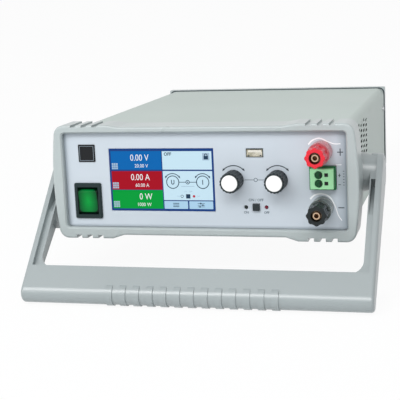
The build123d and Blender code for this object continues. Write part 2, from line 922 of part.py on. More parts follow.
# Axles on which the handle turns, their screws, and the caps over them
bracket_outer = inner_half_width - sheet - fit_gap
with BuildPart() as handle_axles:
    for sign in (-1, 1):
        with BuildSketch(side(sign * (bracket_outer - bracket_thickness))):
            with Locations((pivot_y, pivot_z)):
                Circle(axle_radius)
                Circle(axle_thread_radius + running_gap, mode=Mode.SUBTRACT)
        extrude(amount=sign * (head_seat - bracket_outer + bracket_thickness))
finish(handle_axles, "handle_axles")

with BuildPart() as handle_screws:
    for sign in (-1, 1):
        with BuildSketch(side(sign * head_seat)):
            with Locations((pivot_y, pivot_z)):
                Circle(axle_head_radius)
        extrude(amount=sign * axle_head_thickness)
        with BuildSketch(side(sign * head_seat)):
            with Locations((pivot_y, pivot_z)):
                Circle(axle_thread_radius)
        extrude(amount=-sign * axle_thread_length)
        with BuildSketch(side(sign * (head_seat + axle_head_thickness))):
            with Locations((pivot_y, pivot_z)):
                RegularPolygon(hex_key_size / 2, 6, major_radius=False)
        extrude(amount=-sign * hex_key_depth, mode=Mode.SUBTRACT)
finish(handle_screws, "handle_screws")

with BuildPart() as hub_caps:
    for sign in (-1, 1):
        with BuildSketch(side(sign * (arm_outer - hub_cap_thickness))):
            with Locations((pivot_y, pivot_z)):
                Circle(hub_cap_radius - running_gap)
        extrude(amount=sign * hub_cap_thickness)
    chamfer(hub_caps.faces().sort_by(Axis.X)[0].edges(), 0.6)
    chamfer(hub_caps.faces().sort_by(Axis.X)[-1].edges(), 0.6)
finish(hub_caps, "hub_caps")

with BuildPart() as handle_brackets:
    for sign in (-1, 1):
        with BuildSketch(side(sign * bracket_outer)):
            with Locations((pivot_y, pivot_z)):
                Rectangle(bracket_width, bracket_height)
                Circle(axle_radius + running_gap, mode=Mode.SUBTRACT)
        extrude(amount=-sign * bracket_thickness)
finish(handle_brackets, "handle_brackets")


# Top cover with its side vents
cover_length = frame_front - fit_gap - cover_front
with BuildPart() as top_cover:
    with BuildSketch(upright(cover_front)) as cover_section:
        with Locations((0, (case_bottom + cover_top) / 2)):
            Rectangle(cover_width, cover_top - case_bottom)
        fillet(cover_section.vertices().group_by(Axis.Y)[-1], cover_fold_radius)
        with BuildSketch(upright(cover_front), mode=Mode.PRIVATE) as cover_inside:
            with Locations((0, (case_bottom + cover_top) / 2 - sheet)):
                Rectangle(cover_width - 2 * sheet, cover_top - case_bottom)
            fillet(cover_inside.vertices().group_by(Axis.Y)[-1], cover_fold_radius - sheet)
        add(cover_inside.sketch, mode=Mode.SUBTRACT)
    extrude(amount=-cover_length)
    vent_places = []
    for column in range(vent_columns):
        column_y = vent_first_y + column * vent_pitch_along
        for row in range(vent_rows):
            row_z = vent_bottom_z + (row + (column % 2) / 2) * vent_pitch_up
            if hypot(column_y - pivot_y, row_z - pivot_z) > hub_radius + vent_length:
                vent_places.append((column_y, row_z))
    with BuildSketch(side(0)):
        with BuildSketch(mode=Mode.PRIVATE) as vent:
            Rectangle(vent_length, vent_height)
            chamfer(vent.vertices(), vent_end_cut)
        with Locations(*vent_places):
            add(vent.sketch)
        with Locations((pivot_y, pivot_z)):
            Circle(axle_radius + fit_gap)
    extrude(amount=half_cover + sheet, both=True, mode=Mode.SUBTRACT)
finish(top_cover, "top_cover")


# Chassis tray: floor, low side walls and the flange behind the panel
with BuildPart() as chassis_tray:
    tray_length = rear_plate_front - fit_gap - flange_front
    with BuildSketch(upright(flange_front)) as tray_section:
        with Locations((0, case_bottom + tray_side_height / 2)):
            Rectangle(2 * inner_half_width, tray_side_height)
            with Locations((0, sheet)):
                Rectangle(2 * (inner_half_width - sheet), tray_side_height, mode=Mode.SUBTRACT)
    extrude(amount=-tray_length)
    with BuildSketch(upright(flange_front)):
        with Locations((0, (case_bottom + cover_top - sheet - fit_gap) / 2)):
            flange_height = cover_top - sheet - fit_gap - case_bottom
            Rectangle(2 * inner_half_width, flange_height)
            Rectangle(
                2 * (inner_half_width - flange_width), flange_height - 2 * flange_width, mode=Mode.SUBTRACT
            )
    extrude(amount=-sheet)
finish(chassis_tray, "chassis_tray")


# Rear plate, and the frame round it
with BuildPart() as rear_panel:
    plate_top = cover_top - sheet - fit_gap
    with BuildSketch(upright(rear_plate_front)) as plate_outline:
        with Locations((0, (case_bottom + plate_top) / 2)):
            Rectangle(2 * inner_half_width, plate_top - case_bottom)
        fillet(plate_outline.vertices().group_by(Axis.Y)[-1], cover_fold_radius - sheet)
        with Locations(*[(x, fan_z) for x in fan_x.values()]):
            Circle(fan_bore_radius, mode=Mode.SUBTRACT)
        with Locations((inlet_x, inlet_z)):
            Rectangle(inlet_width + 2 * fit_gap, inlet_height + 2 * fit_gap, mode=Mode.SUBTRACT)
        with Locations((dsub_x, dsub_z)):
            Rectangle(dsub_width + 2 * fit_gap, dsub_height + 2 * fit_gap, mode=Mode.SUBTRACT)
        with Locations((usb_b_x, usb_b_z)):
            Rectangle(usb_b_width + 2 * fit_gap, usb_b_height + 2 * fit_gap, mode=Mode.SUBTRACT)
    extrude(amount=-(rear_plate_back - rear_plate_front))
finish(rear_panel, "rear_panel")

with BuildPart() as rear_frame:
    rear_frame_bottom = case_bottom
    with BuildSketch(upright(frame_front)):
        with Locations((0, (rear_frame_bottom + rear_frame_top) / 2)):
            RectangleRounded(rear_frame_width, rear_frame_top - rear_frame_bottom, 1.5)
            Rectangle(
                rear_frame_width - 2 * rear_frame_border,
                rear_frame_top - rear_frame_bottom - 2 * rear_frame_border,
                mode=Mode.SUBTRACT,
            )
    extrude(amount=-rear_frame_depth)
    chamfer(rear_frame.faces().sort_by(Axis.Y)[-1].outer_wire().edges(), 0.8)
finish(rear_frame, "rear_frame")


# Rear feet
with BuildPart() as rear_feet:
    with BuildSketch(Plane.XY):
        with Locations((0, foot_back - foot_length / 2)):
            with GridLocations(cover_width - 2 * foot_inset_x, 0, 2, 1):
                RectangleRounded(foot_width, foot_length, 2.5)
    extrude(amount=case_bottom)
finish(rear_feet, "rear_feet")


def build_fan(which):
    """One fan: a square frame with its motor seat, and the rotor that turns in it."""
    centre = (fan_x[which], fan_z)
    motor_front = fan_front + fan_seat_thickness + fan_seat_gap
    with BuildPart() as housing:
        with BuildSketch(upright(fan_front)):
            with Locations(centre):
                RectangleRounded(fan_size, fan_size, fan_corner_radius)
                Circle(fan_bore_radius, mode=Mode.SUBTRACT)
                with GridLocations(fan_size - 2 * fan_screw_inset, fan_size - 2 * fan_screw_inset, 2, 2):
                    Circle(fan_screw_radius, mode=Mode.SUBTRACT)
        extrude(amount=-fan_thickness)
        with BuildSketch(upright(fan_front)):
            with Locations(centre):
                Circle(rotor_hub_radius)
                with PolarLocations((rotor_hub_radius + fan_bore_radius) / 2, fan_arm_count):
                    Rectangle(fan_bore_radius - rotor_hub_radius + 2, fan_arm_width)
                Circle(fan_bore_radius + 1, mode=Mode.INTERSECT)
                Circle(fan_shaft_radius + running_gap, mode=Mode.SUBTRACT)
        extrude(amount=-fan_seat_thickness)
    finish(housing, f"fan_housing_{which}")

    rotor_length = fan_back - rotor_end_gap - motor_front
    with BuildPart() as rotor:
        with BuildSketch(upright(motor_front)):
            with Locations(centre):
                Circle(rotor_hub_radius)
        extrude(amount=-rotor_length)
        chamfer(rotor.faces().sort_by(Axis.Y)[-1].edges(), 1.2)
        with BuildSketch(upright(motor_front)):
            with Locations(centre):
                Circle(fan_shaft_radius)
        extrude(amount=motor_front - fan_front)
        blade_mid = motor_front + rotor_length / 2
        for index in range(rotor_blades):
            turn = index * 360 / rotor_blades
            outward = (cos(radians(turn)), 0, sin(radians(turn)))
            root = (
                centre[0] + (rotor_hub_radius - 1) * outward[0],
                blade_mid,
                centre[1] + (rotor_hub_radius - 1) * outward[2],
            )
            blade_plane = Plane(origin=root, x_dir=(0, 1, 0), z_dir=outward)
            with BuildSketch(blade_plane):
                with Locations(Location((0, 0), blade_sweep)):
                    Rectangle(blade_width, blade_thickness)
            extrude(amount=rotor_radius - rotor_hub_radius)
    finish(rotor, f"fan_rotor_{which}")


for which in fan_x:
    build_fan(which)

with BuildPart() as fan_guards:
    with BuildSketch(upright(rear_plate_back + guard_thickness)):
        with Locations(*[(x, fan_z) for x in fan_x.values()]):
            for ring in range(guard_rings):
                ring_radius = fan_bore_radius + guard_ring_width / 2 - ring * guard_ring_pitch
                Circle(ring_radius)
                Circle(ring_radius - guard_ring_width, mode=Mode.SUBTRACT)
            with PolarLocations(fan_bore_radius / 2 + 2, 4, start_angle=45):
                Rectangle(fan_bore_radius + 3, guard_ring_width)
            Circle(guard_centre_radius)
    extrude(amount=guard_thickness)
finish(fan_guards, "fan_guards")


# Mains inlet with its three pins
with BuildPart() as mains_inlet:
    with BuildSketch(upright(rear_plate_back + inlet_flange_thickness)):
        with Locations((inlet_x, inlet_z)):
            RectangleRounded(inlet_flange_width, inlet_flange_height, inlet_flange_thickness)
            with GridLocations(inlet_screw_pitch, 0, 2, 1):
                Circle(1.7, mode=Mode.SUBTRACT)
    extrude(amount=inlet_flange_thickness)
    with BuildSketch(upright(rear_plate_back)):
        with Locations((inlet_x, inlet_z)):
            Rectangle(inlet_width, inlet_height)
    extrude(amount=inlet_depth)
    with BuildSketch(upright(rear_plate_back + inlet_flange_thickness)) as inlet_well:
        with Locations((inlet_x, inlet_z)):
            Rectangle(well_width, well_height)
        chamfer(inlet_well.vertices().group_by(Axis.Y)[-1], well_corner)
    extrude(amount=inlet_depth, mode=Mode.SUBTRACT)
    with BuildSketch(upright(rear_plate_back - pin_width / 2)):
        with Locations((inlet_x, inlet_z + pin_offset)):
            Rectangle(pin_width, pin_height)
        with Locations((inlet_x, inlet_z - pin_offset)):
            with GridLocations(2 * pin_pitch, 0, 2, 1):
                Rectangle(pin_width, pin_height)
    extrude(amount=inlet_depth)
finish(mains_inlet, "mains_inlet")


# Control socket: metal shell on a flange, with its hexagonal screws
with BuildPart() as control_socket:
    with BuildSketch(upright(rear_plate_back + dsub_flange_thickness)):
        with Locations((dsub_x, dsub_z)):
            RectangleRounded(dsub_flange_width, dsub_flange_height, dsub_flange_thickness)
    extrude(amount=dsub_flange_thickness)
    with BuildSketch(upright(rear_plate_back + dsub_proud)) as dsub_shell:
        with Locations((dsub_x, dsub_z)):
            Trapezoid(dsub_width, dsub_height, dsub_side_angle, rotation=180)
        fillet(dsub_shell.vertices(), 1.6)
    extrude(amount=dsub_length)
    with BuildSketch(upright(rear_plate_back + dsub_proud)):
        with Locations((dsub_x, dsub_z)):
            Trapezoid(
                dsub_width - 2 * dsub_shell_wall,
                dsub_height - 2 * dsub_shell_wall,
                dsub_side_angle,
                rotation=180,
            )
    extrude(amount=dsub_proud - dsub_flange_thickness, mode=Mode.SUBTRACT)
    with BuildSketch(upright(rear_plate_back + dsub_proud)):
        with Locations((dsub_x, dsub_z)):
            with GridLocations(dsub_post_pitch, 0, 2, 1):
                RegularPolygon(dsub_post_flats / 2, 6, major_radius=False)
                Circle(dsub_post_bore, mode=Mode.SUBTRACT)
    extrude(amount=dsub_proud - dsub_flange_thickness / 2)
finish(control_socket, "control_socket")


# Square data socket
with BuildPart() as data_socket:
    with BuildSketch(upright(rear_plate_back + usb_b_proud)) as data_outline:
        with Locations((usb_b_x, usb_b_z)):
            Rectangle(usb_b_width, usb_b_height)
        chamfer(data_outline.vertices().group_by(Axis.Y)[-1], usb_b_corner)
    extrude(amount=usb_b_depth)
    with BuildSketch(upright(rear_plate_back + usb_b_proud)) as data_well:
        with Locations((usb_b_x, usb_b_z)):
            Rectangle(usb_b_width - 2 * usb_b_wall, usb_b_height - 2 * usb_b_wall)
        chamfer(data_well.vertices().group_by(Axis.Y)[-1], 0.8 * usb_b_corner)
        with Locations((usb_b_x, usb_b_z)):
            Rectangle(usb_b_tongue_width, usb_b_tongue_height, mode=Mode.SUBTRACT)
    extrude(amount=usb_b_well_depth, mode=Mode.SUBTRACT)
finish(data_socket, "data_socket")


# Main board on its pillars
board_length = main_board_back - main_board_front
with BuildPart() as main_board:
    board_mid_y = (main_board_front + main_board_back) / 2
    with BuildSketch(Plane.XY.offset(main_board_z)):
        with Locations((0, board_mid_y)):
            Rectangle(2 * main_board_half_width, board_length)
    extrude(amount=board_thickness)
finish(main_board, "main_board")

pillar_foot = case_bottom + sheet
with BuildPart() as board_pillars:
    with BuildSketch(Plane.XY.offset(pillar_foot)):
        with Locations((0, board_mid_y)):
            with GridLocations(
                2 * (main_board_half_width - pillar_inset), board_length - 2 * pillar_inset, 2, 2
            ):
                RegularPolygon(pillar_flats / 2, 6, major_radius=False)
    extrude(amount=main_board_z - pillar_foot)
finish(board_pillars, "board_pillars")

board_top = main_board_z + board_thickness


# Finned heatsinks on the board
fin_pitch = (heatsink_width - heatsink_fin_thickness) / (heatsink_fins - 1)
with BuildPart() as heatsinks:
    for heatsink_x in heatsink_places:
        with BuildSketch(upright(heatsink_front)):
            with Locations((heatsink_x, board_top + heatsink_base / 2)):
                Rectangle(heatsink_width, heatsink_base)
            with Locations((heatsink_x, board_top + heatsink_height / 2)):
                with GridLocations(fin_pitch, 0, heatsink_fins, 1):
                    Rectangle(heatsink_fin_thickness, heatsink_height)
        extrude(amount=-heatsink_length)
finish(heatsinks, "heatsinks")


# Transformer: ferrite core and its winding
window_height = core_height - 2 * core_yoke
with BuildPart() as transformer_core:
    with BuildSketch(upright(transformer_y - core_depth / 2)):
        with Locations((transformer_x, board_top + core_height / 2)):
            Rectangle(core_width, core_height)
            with GridLocations(core_post_width + core_window_width, 0, 2, 1):
                Rectangle(core_window_width, window_height, mode=Mode.SUBTRACT)
    extrude(amount=-core_depth)
finish(transformer_core, "transformer_core")

with BuildPart() as transformer_winding:
    with BuildSketch(Plane.XY.offset(board_top + core_yoke + fit_gap)):
        with Locations((transformer_x, transformer_y)):
            RectangleRounded(winding_side, winding_length, winding_corner)
            Rectangle(core_post_width + 2 * fit_gap, core_depth + 2 * fit_gap, mode=Mode.SUBTRACT)
    extrude(amount=window_height - 2 * fit_gap)
finish(transformer_winding, "transformer_winding")


# Choke of the mains side, wound on a ring
with BuildPart() as mains_choke:
    with BuildSketch(Plane.XY.offset(board_top)):
        with Locations((choke_x, choke_y)):
            Circle(choke_radius)
            Circle(choke_bore, mode=Mode.SUBTRACT)
    extrude(amount=choke_height)
    chamfer(mains_choke.edges().filter_by(GeomType.CIRCLE), choke_edge)
finish(mains_choke, "mains_choke")


# Storage capacitors in a row
with BuildPart() as capacitors:
    with BuildSketch(Plane.XY.offset(board_top)):
        with Locations((capacitor_x, capacitor_y)):
            with GridLocations(0, capacitor_pitch, 1, capacitor_count):
                Circle(capacitor_radius)
    extrude(amount=capacitor_height)
    chamfer(capacitors.faces().group_by(Axis.Z)[-1].edges(), 1.2)
finish(capacitors, "capacitors")


# Output bars: the eyes that the nuts clamp on the studs
bar_front = panel_back + nut_thickness + fit_gap
with BuildPart() as output_bars:
    for colour in post_z:
        with BuildSketch(upright(bar_front)):
            with Locations((post_x, post_z[colour])):
                Circle(bar_eye_radius)
                Circle(stud_radius + running_gap, mode=Mode.SUBTRACT)
        extrude(amount=-bar_thickness)
finish(output_bars, "output_bars")


# Screws that hold the cover and the rear frame
with BuildPart() as case_screws:
    for sign in (-1, 1):
        with BuildSketch(side(sign * half_cover)):
            for screw_z in (case_bottom + cover_screw_rise, cover_top - cover_screw_drop):
                with Locations((unit_depth - cover_screw_inset_y, screw_z)):
                    Circle(cover_screw_radius)
        extrude(amount=sign * cover_screw_height)
    with BuildSketch(upright(unit_depth)):
        with Locations((0, (case_bottom + rear_frame_top) / 2)):
            with GridLocations(
                rear_frame_width - rear_frame_border, rear_frame_top - case_bottom - rear_frame_border, 2, 2
            ):
                Circle(frame_screw_radius)
    extrude(amount=-frame_screw_height)
finish(case_screws, "case_screws")
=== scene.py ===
"""Looks of the bench power supply: its finishes, the picture on its screen and the print on its panel.

Flat marks are drawn in millimetres on planes of the unit, which stands tipped back on its handle. Their
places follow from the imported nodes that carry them.
"""

import json
from math import cos, hypot, radians, sin

import bmesh
import bpy
from mathutils import Euler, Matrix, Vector


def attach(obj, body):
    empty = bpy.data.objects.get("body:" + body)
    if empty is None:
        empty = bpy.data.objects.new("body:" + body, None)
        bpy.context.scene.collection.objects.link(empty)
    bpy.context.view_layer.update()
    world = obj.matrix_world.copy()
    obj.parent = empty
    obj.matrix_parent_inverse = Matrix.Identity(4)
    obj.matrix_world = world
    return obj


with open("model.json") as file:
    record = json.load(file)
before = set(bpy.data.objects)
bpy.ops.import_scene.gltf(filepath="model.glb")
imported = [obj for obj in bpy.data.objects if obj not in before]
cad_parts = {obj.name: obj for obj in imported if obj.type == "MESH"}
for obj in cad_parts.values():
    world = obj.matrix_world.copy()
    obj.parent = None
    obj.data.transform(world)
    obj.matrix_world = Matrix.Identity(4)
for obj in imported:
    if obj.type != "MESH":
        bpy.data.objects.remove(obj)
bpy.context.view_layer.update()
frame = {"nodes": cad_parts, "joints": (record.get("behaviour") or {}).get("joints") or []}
nodes = frame["nodes"]
joints = {joint["name"]: joint for joint in frame["joints"]}
mm = 0.001

# Directions of the unit in the frame
right = Vector((1, 0, 0))
depth = Vector(joints["output_press"]["axis"]).normalized()
up = right.cross(depth)


def reach(node, way):
    """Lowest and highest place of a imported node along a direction, in metres."""
    places = [vertex.co.dot(way) for vertex in nodes[node].data.vertices]
    return min(places), max(places)


def middle(node, way):
    """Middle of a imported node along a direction, in metres."""
    return sum(reach(node, way)) / 2


def half_size(node, way):
    """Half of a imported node's size along a direction, in metres."""
    low, high = reach(node, way)
    return (high - low) / 2


class Sheet:
    """A plane across the unit, by its centre in metres. Its x is to the right, its z up and its lift to
    the front, in millimetres.
    """

    def __init__(self, centre_x, centre_z, face):
        self.origin = right * centre_x + up * centre_z + depth * face

    def point(self, x, z, lift):
        return self.origin + (right * x + up * z - depth * lift) * mm


def front_of(node):
    """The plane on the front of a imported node, round its middle."""
    return Sheet(middle(node, right), middle(node, up), reach(node, depth)[0])


class Marks:
    """Thin raised marks of one colour, gathered into one piece."""

    def __init__(self, sheet, low, high):
        self.sheet = sheet
        self.low = low
        self.high = high
        self.mesh = bmesh.new()

    def area(self, outline):
        """A flat mark with a closed outline."""
        front = [self.mesh.verts.new(self.sheet.point(x, z, self.high)) for x, z in outline]
        back = [self.mesh.verts.new(self.sheet.point(x, z, self.low)) for x, z in outline]
        self.mesh.faces.new(front)
        self.mesh.faces.new(reversed(back))
        for index in range(len(outline)):
            after = (index + 1) % len(outline)
            self.mesh.faces.new((front[index], front[after], back[after], back[index]))

    def bar(self, x, z, width, height, radius=0.0):
        """A rectangle round its middle, with round corners."""
        self.area(rectangle(x, z, width, height, radius))

    def disc(self, x, z, radius):
        self.area(arc(x, z, radius, 0, 360)[:-1])

    def line(self, points, widths):
        """A stroke along points, with one width or one for each point."""
        if isinstance(widths, float):
            widths = [widths] * len(points)
        sides = ([], [])
        for index, (x, z) in enumerate(points):
            before = points[max(index - 1, 0)]
            after = points[min(index + 1, len(points) - 1)]
            along = hypot(after[0] - before[0], after[1] - before[1])
            across = ((before[1] - after[1]) / along, (after[0] - before[0]) / along)
            for side, sign in zip(sides, (0.5, -0.5)):
                offset = sign * widths[index]
                side.append((x + offset * across[0], z + offset * across[1]))
        self.area(sides[0] + sides[1][::-1])

    def ring(self, x, z, radius, width):
        for start in (0, 180):
            self.line(arc(x, z, radius, start, start + 180), width)

    def arrow(self, tip, heading, size):
        """A filled arrow head whose tip points along a heading in degrees."""
        half_base = 0.42 * size
        corners = [(0.0, 0.0), (-size, half_base), (-size, -half_base)]
        turn = radians(heading)
        self.area([
            (tip[0] + a * cos(turn) - b * sin(turn), tip[1] + a * sin(turn) + b * cos(turn))
            for a, b in corners
        ])

    def turning_arc(self, x, z, radius, half_angle, width, head):
        """An arc over a knob with an arrow head at each end, turned in a little."""
        turn_in = 8
        points = arc(x, z, radius, 90 + half_angle, 90 - half_angle)
        self.line(points, width)
        self.arrow(tip_of(x, z, radius, 90 - half_angle, head), -half_angle - turn_in, head)
        self.arrow(tip_of(x, z, radius, 90 + half_angle, -head), 180 + half_angle + turn_in, head)

    def words(self, text, x, z, height, stretch=1.0, bold=0.0):
        """Plain figures or letters round a middle, by the height of a capital."""
        curve = bpy.data.curves.new("words", "FONT")
        curve.body = text
        curve.size = height / capital_share
        curve.align_x = "CENTER"
        curve.extrude = (self.high - self.low) / 2
        curve.offset = bold
        curve.resolution_u = 3
        holder = bpy.data.objects.new("words", curve)
        drawn = bpy.data.meshes.new_from_object(holder)
        lift = (self.high + self.low) / 2
        placed = [self.mesh.verts.new(
            self.sheet.point(x + stretch * v.co.x, z + v.co.y - height / 2, lift + v.co.z)
        ) for v in drawn.vertices]
        for polygon in drawn.polygons:
            corners = [placed[index] for index in polygon.vertices]
            if self.mesh.faces.get(corners) is None:
                self.mesh.faces.new(corners)
        bpy.data.objects.remove(holder)
        bpy.data.curves.remove(curve)
        bpy.data.meshes.remove(drawn)

    def piece(self, name, material, slot, body="unit"):
        """Closes the marks into one object that rides on a body."""
        bmesh.ops.remove_doubles(self.mesh, verts=self.mesh.verts, dist=1e-7)
        bmesh.ops.recalc_face_normals(self.mesh, faces=self.mesh.faces)
        return add_piece(name, self.mesh, material, body)


capital_share = 0.69


def rectangle(x, z, width, height, radius=0.0):
    """Outline of a rectangle round its middle, with round corners where a radius is given."""
    if radius == 0:
        return [
            (x - width / 2, z - height / 2),
            (x + width / 2, z - height / 2),
            (x + width / 2, z + height / 2),
            (x - width / 2, z + height / 2),
        ]
    outline = []
    for start, side, end in ((180, -1, -1), (270, 1, -1), (0, 1, 1), (90, -1, 1)):
        corner_x = x + side * (width / 2 - radius)
        corner_z = z + end * (height / 2 - radius)
        outline += arc(corner_x, corner_z, radius, start, start + 90, 5)
    return outline


def arc(x, z, radius, start, end, steps=24):
    """Points of a round stretch, by angles in degrees from the right."""
    turns = [radians(start + (end - start) * step / steps) for step in range(steps + 1)]
    return [(x + radius * cos(turn), z + radius * sin(turn)) for turn in turns]


def tip_of(x, z, radius, angle, lead):
    """A point just past the end of an arc, a lead further clockwise."""
    turn = radians(angle) - 0.75 * lead / radius
    return x + radius * cos(turn), z + radius * sin(turn)


def smooth_curve(points, steps=8):
    """A smooth line through a few points, as a chain of short stretches."""
    line = []
    ends = [points[0]] + points + [points[-1]]
    for index in range(len(points) - 1):
        a, b, c, d = ends[index:index + 4]
        for step in range(steps):
            t = step / steps
            line.append(tuple(
                0.5 * (2 * q + (r - p) * t
                       + (2 * p - 5 * q + 4 * r - s) * t**2
                       + (3 * q - p - 3 * r + s) * t**3)
                for p, q, r, s in zip(a, b, c, d)
            ))
    return line + [points[-1]]


def add_piece(name, mesh, material, body="unit"):
    """Turns a bmesh in the frame into an object with a material that rides on a body."""
    data = bpy.data.meshes.new(name)
    mesh.to_mesh(data)
    mesh.free()
    data.materials.append(material)
    piece = bpy.data.objects.new(name, data)
    bpy.context.scene.collection.objects.link(piece)
    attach(piece, body)
    return piece


# Materials


class Finish:
    """A material with one Principled shader and helpers for its procedural detail."""

    def __init__(self, name, colour, roughness, metallic=0.0):
        self.material = bpy.data.materials.new(name)
        self.material.use_nodes = True
        self.tree = self.material.node_tree
        self.shader = self.tree.nodes["Principled BSDF"]
        self.shader.inputs["Base Color"].default_value = (*colour, 1)
        self.shader.inputs["Roughness"].default_value = roughness
        self.shader.inputs["Metallic"].default_value = metallic
        self.colour = colour
        self.roughness = roughness
        self.place = self.add("ShaderNodeTexCoord").outputs["Object"]

    def add(self, kind, **settings):
        node = self.tree.nodes.new(kind)
        for key, value in settings.items():
            setattr(node, key, value)
        return node

    def join(self, source, target):
        self.tree.links.new(source, target)

    def set(self, **values):
        """Sets sockets of the shader by name, with spaces written as underscores."""
        for key, value in values.items():
            self.shader.inputs[key.replace("_", " ")].default_value = value
        return self

    def noise(self, size, detail=3.0, stretch=(1, 1, 1)):
        """Cloudy values whose grains are about that many metres across."""
        scale = self.add("ShaderNodeMapping")
        scale.inputs["Scale"].default_value = stretch
        self.join(self.place, scale.inputs["Vector"])
        noise = self.add("ShaderNodeTexNoise")
        noise.inputs["Scale"].default_value = 1 / size
        noise.inputs["Detail"].default_value = detail
        self.join(scale.outputs["Vector"], noise.inputs["Vector"])
        return noise.outputs["Fac"]

    def spread(self, value, low, high, from_low=0.3, from_high=0.7):
        ranged = self.add("ShaderNodeMapRange")
        self.join(value, ranged.inputs["Value"])
        ranged.inputs["From Min"].default_value = from_low
        ranged.inputs["From Max"].default_value = from_high
        ranged.inputs["To Min"].default_value = low
        ranged.inputs["To Max"].default_value = high
        return ranged.outputs["Result"]

    def blend(self, value, first, second):
        mix = self.add("ShaderNodeMix", data_type="RGBA")
        self.join(value, mix.inputs["Factor"])
        mix.inputs[6].default_value = (*first, 1)
        mix.inputs[7].default_value = (*second, 1)
        return mix.outputs[2]

    def mottle(self, size, amount, detail=3.0, stretch=(1, 1, 1)):
        """Slight lighter and darker clouds in the colour."""
        darker = tuple(c * (1 - amount) for c in self.colour)
        lighter = tuple(min(1.0, c * (1 + amount)) for c in self.colour)
        cloud = self.spread(self.noise(size, detail, stretch), 0, 1)
        self.join(self.blend(cloud, darker, lighter), self.shader.inputs["Base Color"])
        return self

    def grain(self, size, height, detail=2.0, stretch=(1, 1, 1)):
        """Raised grain with that size and height in metres."""
        bump = self.add("ShaderNodeBump")
        bump.inputs["Strength"].default_value = 1.0
        bump.inputs["Distance"].default_value = height
        self.join(self.noise(size, detail, stretch), bump.inputs["Height"])
        self.join(bump.outputs["Normal"], self.shader.inputs["Normal"])
        return self

    def smudge(self, size, amount):
        """Uneven gloss, as from handling."""
        low = max(0.02, self.roughness - amount)
        high = min(1.0, self.roughness + amount)
        self.join(self.spread(self.noise(size), low, high), self.shader.inputs["Roughness"])
        return self


def plain_plastic(name, colour, roughness, grain_size=0.0009, grain_height=0.00001, amount=0.03):
    """Moulded plastic: a little uneven in colour and gloss, with a fine grain."""
    plastic = Finish(name, colour, roughness).mottle(0.05, amount)
    return plastic.grain(grain_size, grain_height).smudge(0.03, 0.05)


def dark_moulding(name, colour, roughness, grain_size=0.0009, grain_height=0.00001):
    """Dark plastic with a weak reflection, which keeps its depth in a white room."""
    return plain_plastic(name, colour, roughness, grain_size, grain_height).set(Specular_IOR_Level=0.22)


def plain_metal(name, colour, roughness, stretch=(1, 1, 1), grain_height=0.000004):
    """Bare metal, brushed along an axis where it is stretched."""
    metal = Finish(name, colour, roughness, metallic=1.0).mottle(0.004, 0.05, stretch=stretch)
    return metal.grain(0.0008, grain_height, stretch=stretch).smudge(0.01, 0.06)


def lit_plastic(name, colour, glow, roughness=0.22):
    """A picture element of the screen: its own colour, lit from behind, under glossy glass."""
    unlit_share = 0.2
    column_scale = 520.0
    lit = Finish(name, tuple(unlit_share * c for c in colour), roughness)
    lit.set(Specular_IOR_Level=0.06, Emission_Strength=glow)
    columns = lit.add("ShaderNodeTexWave", bands_direction="X", wave_profile="SIN")
    columns.inputs["Scale"].default_value = column_scale
    lit.join(lit.place, columns.inputs["Vector"])
    brighter = tuple(min(1.0, 1.05 * c) for c in colour)
    dimmer = tuple(0.93 * c for c in colour)
    lit.join(lit.blend(columns.outputs["Fac"], dimmer, brighter), lit.shader.inputs["Emission Color"])
    return lit


def across(finish, node):
    """Place on the unit's front in metres from the middle of a node: x to the right and y up."""
    flat = finish.add("ShaderNodeCombineXYZ")
    for way, target in ((right, "X"), (up, "Y")):
        along = finish.add("ShaderNodeVectorMath", operation="DOT_PRODUCT")
        along.inputs[1].default_value = way
        finish.join(finish.place, along.inputs[0])
        moved = finish.add("ShaderNodeMath", operation="SUBTRACT")
        moved.inputs[1].default_value = middle(node, way)
        finish.join(along.outputs["Value"], moved.inputs[0])
        finish.join(moved.outputs[0], flat.inputs[target])
    return flat.outputs[0]


def vector_step(finish, operation, first, second=None):
    """One step of vector arithmetic, with a fixed second value."""
    step = finish.add("ShaderNodeVectorMath", operation=operation)
    finish.join(first, step.inputs[0])
    if second is not None:
        step.inputs[1].default_value = second
    return step.outputs["Value"] if operation == "LENGTH" else step.outputs["Vector"]


def glowing_rocker():
    """Green translucent moulding, brightest over the lamp in its middle, with painted shade on its
    rounded rim for the dark gap round it.
    """
    green = (0.0, 0.075, 0.016)
    edge_shade = (0.0, 0.005, 0.002)
    lamp_shape = (1.45, 0.72, 0.0)
    lamp_reach = 0.0115
    corner = 0.0055
    edge_start, edge_end = 0.0024, 0.0014
    lens = Finish("green_lens", green, 0.2).set(Specular_IOR_Level=0.14, Emission_Strength=0.75)
    place = across(lens, "power_rocker")
    from_lamp = vector_step(lens, "LENGTH", vector_step(lens, "MULTIPLY", place, lamp_shape))
    fade = lens.spread(from_lamp, 0, 1, 0.0, lamp_reach)
    glow = lens.blend(fade, (0.0, 0.36, 0.045), (0.0, 0.035, 0.009))
    half_sizes = [half_size("power_rocker", way) - corner for way in (right, up)]
    beyond = vector_step(lens, "SUBTRACT", vector_step(lens, "ABSOLUTE", place), (*half_sizes, 1.0))
    round_edge = vector_step(lens, "LENGTH", vector_step(lens, "MAXIMUM", beyond, (0.0, 0.0, 0.0)))
    # Painted shade: the rounded rim turns near black in colour and glow, standing in for the shade of
    # the gap round the rocker.
    rim_shade_share = lens.spread(round_edge, 0, 1, corner - edge_start, corner - edge_end)
    rim = lens.add("ShaderNodeMix", data_type="RGBA")
    lens.join(rim_shade_share, rim.inputs["Factor"])
    lens.join(glow, rim.inputs[6])
    rim.inputs[7].default_value = (*edge_shade, 1)
    lens.join(rim.outputs[2], lens.shader.inputs["Emission Color"])
    lens.join(lens.blend(rim_shade_share, green, edge_shade), lens.shader.inputs["Base Color"])
    return lens.grain(0.0016, 0.00003)


def clear_plastic(name, colour, roughness, transmission):
    """Translucent moulding, as on binding posts."""
    tinted = Finish(name, colour, roughness).mottle(0.008, 0.08).grain(0.003, 0.00002)
    return tinted.set(Transmission_Weight=transmission, IOR=1.49, Specular_IOR_Level=0.35)


